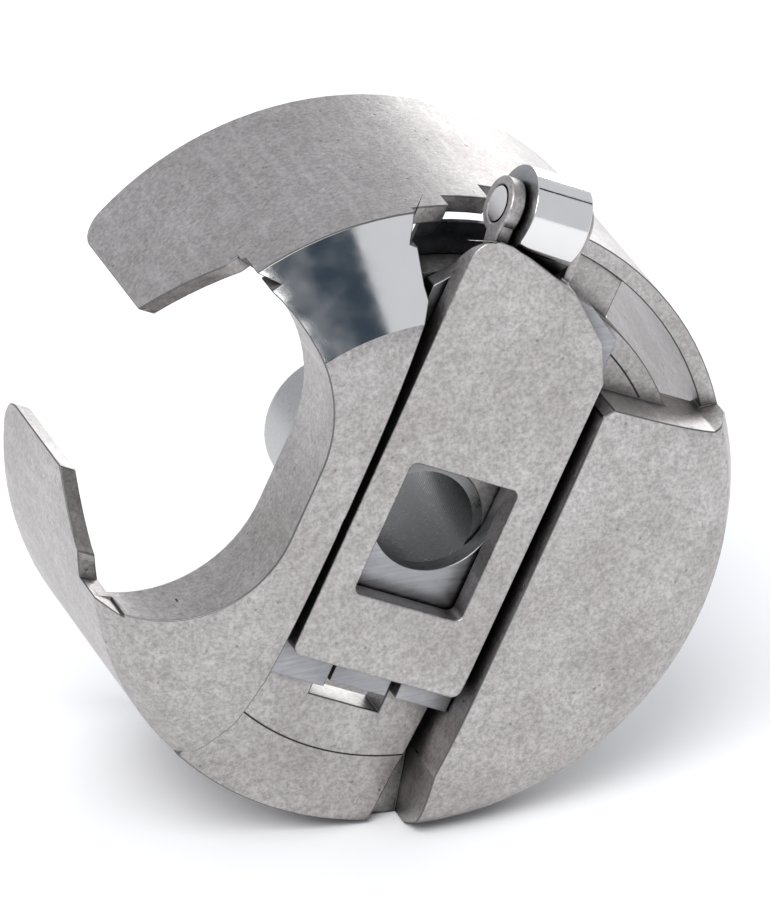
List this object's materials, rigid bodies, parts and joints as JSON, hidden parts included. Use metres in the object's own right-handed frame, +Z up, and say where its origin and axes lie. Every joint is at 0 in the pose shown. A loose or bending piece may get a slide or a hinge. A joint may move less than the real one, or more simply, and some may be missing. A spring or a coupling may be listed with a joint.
{
  "type": "bobbin case",
  "caption": "Steel front-loading bobbin case with a hinged latch lever, sliding latch, hollow centre post and leaf tension spring.",
  "frame": {"origin": "on the axis of the spindle bore, level with the front edge of the cylindrical wall", "axes": "+Y along the bore towards the open back, -Y towards the latch and the viewer, +Z up as the case stands on its wall, +X to the right seen from the front"},
  "size_m": [0.024, 0.0133, 0.0256],
  "materials": {
    "cast_steel": "satin, finely pitted",
    "latch_plate": "satin, finely pitted",
    "slide_steel": "smooth satin, polished knuckle",
    "post_steel": "turned satin",
    "pin_steel": "polished",
    "spring_steel": "blued satin",
    "screw_steel": "turned"
  },
  "bodies": {
    "case": {"case_body": "cast_steel", "centre_post": "post_steel", "brake_spring": "spring_steel", "tension_spring": "spring_steel", "fixing_screw": "screw_steel", "latch_spring": "spring_steel"},
    "slide": {"latch_slide": "slide_steel", "hinge_pin": "pin_steel"},
    "lever": {"latch_lever": "latch_plate"},
    "adjuster": {"tension_screw": "screw_steel"}
  },
  "joints": [
    {"name": "slide_shift", "type": "slide", "parent": "case", "child": "slide", "axis": [-0.4226, 0, -0.9063], "range_m": [0, 0.0007], "deforming": ["latch_spring"]},
    {"name": "lever_swing", "type": "hinge", "parent": "slide", "child": "lever", "pos_m": [0.00527, -0.00115, 0.01131], "axis": [-0.9063, 0, 0.4226], "range_deg": [0, 85]},
    {"name": "tension_turn", "type": "hinge", "parent": "case", "child": "adjuster", "pos_m": [0.00787, 0.0054, -0.00906], "axis": [0.6561, 0, -0.7547], "range_deg": [-360, 360]}
  ],
  "couplings": [
    {"joint": "lever_swing", "follows": "slide_shift", "rad_per_m": 2119}
  ]
}
